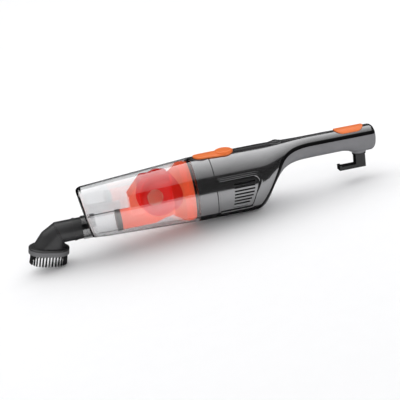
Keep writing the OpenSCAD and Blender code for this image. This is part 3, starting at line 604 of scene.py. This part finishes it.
def coil(name, node, along, turns):
    """A wound wire spring in place of the CAD's sleeve, with closed ends."""
    points = [v.co for v in frame["nodes"][node].data.vertices]
    middle = sum(points, Vector()) / len(points)
    side_a = AXIS_Y
    side_b = along.cross(side_a)
    reach = max((p - middle).dot(along) for p in points)
    radius = max((p - middle).dot(side_a) for p in points) - WIRE
    steps, around = turns * TURN_STEPS, WIRE_SIDES
    verts = []
    for k in range(steps + 1):
        t = k / steps
        a = 2 * math.pi * turns * t
        rise = min(1.0, max(0.0, (t * turns - 1) / (turns - 2)))
        closed = min(1, t * turns) - 1 + max(0, t * turns - turns + 1)
        rise = (2 * rise - 1) * (reach - WIRE * 1.2) + WIRE * closed
        out = side_a * math.cos(a) + side_b * math.sin(a)
        for q in range(around):
            b = 2 * math.pi * q / around
            height = rise + WIRE * math.sin(b) * 0.98
            verts.append(middle + along * height + out * (radius + WIRE * math.cos(b)))
    faces = [(k * around + q, k * around + (q + 1) % around, (k + 1) * around + (q + 1) % around,
              (k + 1) * around + q) for k in range(steps) for q in range(around)]
    faces += [tuple(reversed(range(around))), tuple(steps * around + q for q in range(around))]
    obj = mesh_object(name, verts, faces, FINISH["zinc"])
    obj.data.shade_smooth()
    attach(obj, "body")
    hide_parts(node)
    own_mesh(obj)


coil("release_coil", "release_spring", AXIS_X, 7)
coil("button_coil", "button_spring", AXIS_Z, 5)

# ------------------------------------------------------------------ bristles
def islands(node):
    """The separate closed shapes of a CAD node, each as a list of points."""
    mesh = node.data
    parent = list(range(len(mesh.vertices)))

    def find(i):
        while parent[i] != i:
            parent[i] = parent[parent[i]]
            i = parent[i]
        return i

    for e in mesh.edges:
        a, b = find(e.vertices[0]), find(e.vertices[1])
        parent[a] = b
    seen = {}
    for v in mesh.vertices:
        key = tuple(round(c, 6) for c in v.co)
        if key in seen:
            parent[find(v.index)] = find(seen[key])
        seen[key] = v.index
    groups = {}
    for v in mesh.vertices:
        groups.setdefault(find(v.index), []).append(v.co.copy())
    return list(groups.values())


def tuft_way(points):
    """From one end of a tuft to the other, pointing down."""
    a, b = max(((a, b) for a in points for b in points), key=lambda pair: (pair[0] - pair[1]).length)
    return b - a if (b - a).z < 0 else a - b


FILAMENTS, SEGMENTS, SIDES, TUFT_R = 34, 5, 4, 1.75 * MM
THICK = (0.14, 0.19)           # half a filament's width, millimetres
REACH = (0.93, 0.998)          # where it ends, as a share of the tuft
BOW_OUT, BOW_SIDE = (0.0, 0.35), (-0.25, 0.25)  # millimetres that a tip leans outwards and sideways
ROOT_SPREAD, TIP_SPREAD, TIP_TAPER = 0.72, 0.22, 0.55
FLOOR_LIFT = 0.0002
tufts = islands(frame["nodes"]["bristle_tufts"])
middles = [sum(t, Vector()) / len(t) for t in tufts]
centre = sum(middles, Vector()) / len(tufts)
down = sum((tuft_way(t) for t in tufts), Vector()).normalized()
verts, faces = [], []
for tuft, mid in zip(tufts, middles):
    t_len = max((p - mid).dot(down) for p in tuft)
    out = mid - centre
    out = (out - out.dot(down) * down).normalized()
    side_dir = down.cross(out)
    for n in range(FILAMENTS):
        a, r = rng.uniform(0, 2 * math.pi), math.sqrt(rng.random())
        offset = (out * math.cos(a) + side_dir * math.sin(a)) * r
        thick = rng.uniform(*THICK) * MM
        reach = t_len * rng.uniform(*REACH)
        bow = out * rng.uniform(*BOW_OUT) * MM + side_dir * rng.uniform(*BOW_SIDE) * MM
        base = len(verts)
        for k in range(SEGMENTS + 1):
            u = k / SEGMENTS
            spread = ROOT_SPREAD + TIP_SPREAD * u * u
            at_k = mid + down * (-t_len + (t_len + reach) * u) + offset * TUFT_R * spread + bow * u * u
            rk = thick * (TIP_TAPER if k == SEGMENTS else 1.0)
            for q in range(SIDES):
                b = 2 * math.pi * q / SIDES
                verts.append(at_k + (out * math.cos(b) + side_dir * math.sin(b)) * rk)
        for k in range(SEGMENTS):
            for q in range(SIDES):
                i0, i1 = base + k * SIDES + q, base + k * SIDES + (q + 1) % SIDES
                faces.append((i0, i1, i1 + SIDES, i0 + SIDES))
        faces.append(tuple(base + SEGMENTS * SIDES + q for q in range(SIDES)))
        faces.append(tuple(base + q for q in reversed(range(SIDES))))
verts = [(v.x, v.y, max(v.z, FLOOR_LIFT)) for v in verts]
filaments = mesh_object("bristle_filaments", verts, faces, FINISH["bristle"])
filaments.data.shade_smooth()
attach(filaments, "brush_end")
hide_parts("bristle_tufts")

# ------------------------------------------------------------------ stage
FLOOR = 12.0            # half the floor's side, metres
ARC_R, ARC_HALF, ARC_STEPS = 1.6, 1.8, 24
ARC_FROM, ARC_TO = 47.0, 158.0  # degrees above the front horizon
ARC_DIM, ARC_FULL_AT, ARC_CURVE, ARC_FADE = 0.16, 0.72, 1.2, 0.1
ARC_STRENGTH, WORLD_STRENGTH = 1.9, 1.12
CARD_HALF = 3.0
BACK_Y, BACK_TOP = 0.11, 0.24
FRONT_Y, FRONT_TOP = -0.5, 0.62
UNDER_Y, UNDER_Z = -0.035, 5e-4


def stage_mesh(name, verts, faces, mat):
    """A mesh that belongs to the studio and isn't part of the tool."""
    obj = mesh_object(name, verts, faces, mat)
    return obj


def only_lit(obj, diffuse):
    """Seen in reflections, and by diffuse light if wanted, but never by the camera."""
    obj.visible_camera = False
    obj.visible_shadow = False
    obj.visible_transmission = False
    obj.visible_volume_scatter = False
    obj.visible_diffuse = diffuse


def emitter(name, strength):
    """A white light panel whose strength follows the mesh's glow values, or a black card at strength 0."""
    mat = bpy.data.materials.new(name)
    mat.use_nodes = True
    tree = mat.node_tree
    tree.nodes.clear()
    out = tree.nodes.new("ShaderNodeOutputMaterial")
    emit = tree.nodes.new("ShaderNodeEmission")
    if strength:
        glow = tree.nodes.new("ShaderNodeAttribute")
        glow.attribute_name = "glow"
        times = tree.nodes.new("ShaderNodeMath")
        times.operation = "MULTIPLY"
        times.inputs[1].default_value = strength
        tree.links.new(glow.outputs["Fac"], times.inputs[0])
        tree.links.new(times.outputs[0], emit.inputs["Strength"])
    else:
        emit.inputs["Strength"].default_value = 0.0
    tree.links.new(emit.outputs[0], out.inputs["Surface"])
    return mat


QUAD = [(0, 1, 2, 3)]
floor_mat = moulded("floor", (0.93, 0.93, 0.94), 0.9, vary=0.005, grain=400.0, depth=1e-5)
stage_mesh("floor", [(-FLOOR, -FLOOR, 0), (FLOOR, -FLOOR, 0), (FLOOR, FLOOR, 0), (-FLOOR, FLOOR, 0)],
           QUAD, floor_mat)

# curved soft light overhead, brighter towards the back, so the tool's upper side runs from light to dark
verts, glow = [], []
for i in range(ARC_STEPS + 1):
    t = i / ARC_STEPS
    a = math.radians(ARC_FROM + (ARC_TO - ARC_FROM) * t)
    level = ARC_DIM + (1 - ARC_DIM) * min(1.0, t / ARC_FULL_AT) ** ARC_CURVE
    if t > 1 - ARC_FADE:
        level *= (1 - t) / ARC_FADE
    for side in (-1, 1):
        verts.append(AXIS_O + Vector((side * ARC_HALF, -math.cos(a) * ARC_R, math.sin(a) * ARC_R)))
        glow.append(level)
faces = [(2 * i, 2 * i + 1, 2 * i + 3, 2 * i + 2) for i in range(ARC_STEPS)]
arc = stage_mesh("soft_light", verts, faces, emitter("soft_light", ARC_STRENGTH))
arc.data.attributes.new("glow", "FLOAT", "POINT").data.foreach_set("value", glow)
only_lit(arc, True)

# dark cards, seen only in gloss, that give the hard-edged band on the side and the dark outlines
black = emitter("card_black", 0.0)


def card(name, near, far):
    """A black card right across the tool, from one (y, z) edge to the other."""
    (y0, z0), (y1, z1) = near, far
    corners = [(-CARD_HALF, y0, z0), (CARD_HALF, y0, z0), (CARD_HALF, y1, z1), (-CARD_HALF, y1, z1)]
    only_lit(stage_mesh(name, corners, QUAD, black), False)


card("card_front", (FRONT_Y, 0.0), (FRONT_Y, FRONT_TOP))
card("card_back", (BACK_Y, 0.0), (BACK_Y, BACK_TOP))
card("card_under", (UNDER_Y, UNDER_Z), (BACK_Y, UNDER_Z))

# the world lights the tool evenly, and is dark to glossy and transmitted rays, so that reflections stay clean
world = bpy.data.worlds.new("studio")
bpy.context.scene.world = world
world.use_nodes = True
wt = world.node_tree
wt.nodes.clear()
w_out = wt.nodes.new("ShaderNodeOutputWorld")
w_mix = wt.nodes.new("ShaderNodeMixShader")
w_path = wt.nodes.new("ShaderNodeLightPath")
w_soft = wt.nodes.new("ShaderNodeBackground")
w_soft.inputs["Color"].default_value = (1.0, 1.0, 1.0, 1)
w_soft.inputs["Strength"].default_value = WORLD_STRENGTH
w_dark = wt.nodes.new("ShaderNodeBackground")
w_dark.inputs["Color"].default_value = (0.02, 0.02, 0.022, 1)
w_either = wt.nodes.new("ShaderNodeMath")
w_either.operation = "MAXIMUM"
wt.links.new(w_path.outputs["Is Glossy Ray"], w_either.inputs[0])
wt.links.new(w_path.outputs["Is Transmission Ray"], w_either.inputs[1])
wt.links.new(w_either.outputs[0], w_mix.inputs["Fac"])
wt.links.new(w_soft.outputs[0], w_mix.inputs[1])
wt.links.new(w_dark.outputs[0], w_mix.inputs[2])
wt.links.new(w_mix.outputs[0], w_out.inputs["Surface"])

scene = bpy.context.scene
scene.view_settings.view_transform = "Standard"

# ------------------------------------------------------------------ camera
turn, rise, roll = (math.radians(v) for v in (CAM_TURN, CAM_RISE, CAM_ROLL))
look = Vector((math.sin(turn) * math.cos(rise), math.cos(turn) * math.cos(rise), -math.sin(rise)))
right = Vector((math.cos(turn), -math.sin(turn), 0))
up = right.cross(look)
right, up = right * math.cos(roll) - up * math.sin(roll), right * math.sin(roll) + up * math.cos(roll)
cam_place = -(look + right * AIM_RIGHT + up * AIM_UP) * CAM_AWAY
cam_data = bpy.data.cameras.new("camera")
cam_data.lens = CAM_LENS
cam_data.sensor_width = SENSOR
cam = bpy.data.objects.new("camera", cam_data)
scene.collection.objects.link(cam)
turned = AXIS_M @ Matrix((right, up, -look)).transposed()
cam.matrix_world = Matrix.Translation(AXIS_O + AXIS_M @ cam_place) @ turned.to_4x4()
scene.camera = cam
